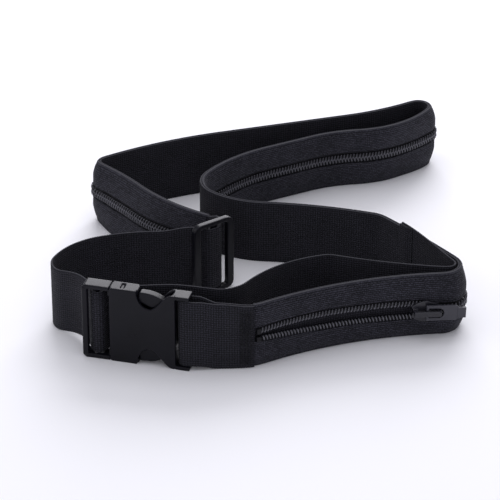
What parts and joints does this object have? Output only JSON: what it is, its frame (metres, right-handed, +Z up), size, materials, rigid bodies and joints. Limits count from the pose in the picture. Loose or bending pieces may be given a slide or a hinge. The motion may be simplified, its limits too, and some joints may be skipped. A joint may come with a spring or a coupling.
{
  "type": "money belt",
  "caption": "Black webbing money belt standing on edge in loose folds, with a full-length zipped pocket, side release buckle, tri-glide and free strap tail.",
  "frame": {"origin": "under the closed buckle, within 1 mm of its middle, on the plane the belt stands on", "axes": "+X along the buckle from the male end to the female end, +Y to the back, +Z up along the webbing's width"},
  "size_m": [0.2361, 0.2735, 0.045],
  "materials": {
    "webbing": "ribbed polypropylene webbing, low sheen",
    "pocket_fabric": "plain woven nylon, matt",
    "zipper_tape": "knitted zipper tape, matt",
    "zipper_coil": "nylon coil, satin",
    "zipper_metal": "black enamelled, satin",
    "thread": "polyester thread, low sheen",
    "buckle_plastic": "moulded acetal, satin"
  },
  "bodies": {
    "root": {"backing_web": "webbing", "pocket_panel_upper": "pocket_fabric", "pocket_panel_lower": "pocket_fabric", "zipper_tape_upper": "zipper_tape", "zipper_tape_lower": "zipper_tape", "zipper_coil_upper": "zipper_coil", "zipper_coil_lower": "zipper_coil", "zipper_top_stops": "zipper_metal", "zipper_bottom_stop": "zipper_metal", "buckle_web_loop": "webbing", "buckle_end_bartack": "thread", "adjuster_end_bartack": "thread", "female_buckle": "buckle_plastic", "adjusting_strap": "webbing", "strap_tail": "webbing", "tail_hem": "webbing"},
    "male": {"male_frame": "buckle_plastic"},
    "upper_prong": {"prong_upper": "buckle_plastic"},
    "lower_prong": {"prong_lower": "buckle_plastic"},
    "slider": {"slider_body": "zipper_metal"},
    "pull": {"pull_tab": "zipper_metal"},
    "glide": {"tri_glide": "buckle_plastic"}
  },
  "joints": [
    {"name": "buckle_release", "type": "slide", "parent": "root", "child": "male", "axis": [-1, 0, 0], "range_m": [0, 0.038], "deforming": ["adjusting_strap", "strap_tail", "prong_upper", "prong_lower"]},
    {"name": "prong_press_upper", "type": "hinge", "parent": "male", "child": "upper_prong", "pos_m": [-0.0118, 0, 0.0365], "axis": [0, 1, 0], "range_deg": [0, 9]},
    {"name": "prong_press_lower", "type": "hinge", "parent": "male", "child": "lower_prong", "pos_m": [-0.0118, 0, 0.0085], "axis": [0, -1, 0], "range_deg": [0, 9]},
    {"name": "zipper_slide", "type": "hinge", "parent": "root", "child": "slider", "pos_m": [0.22303, -0.14094, 0.017], "axis": [0.031, 0.0123, 0.9994], "range_deg": [0, 19.8], "deforming": ["zipper_coil_upper", "zipper_coil_lower", "zipper_tape_upper", "zipper_tape_lower"]},
    {"name": "pull_swing", "type": "hinge", "parent": "slider", "child": "pull", "pos_m": [0.14421, 0.05952, 0.01698], "axis": [-0.031, -0.0123, -0.9994], "range_deg": [0, 170]},
    {"name": "glide_adjust", "type": "slide", "parent": "root", "child": "glide", "axis": [-0.9703, -0.2419, 0], "range_m": [-0.004, 0.02], "deforming": ["adjusting_strap"]}
  ],
  "couplings": [
    {"joint": "prong_press_lower", "follows": "prong_press_upper", "ratio": 1}
  ]
}
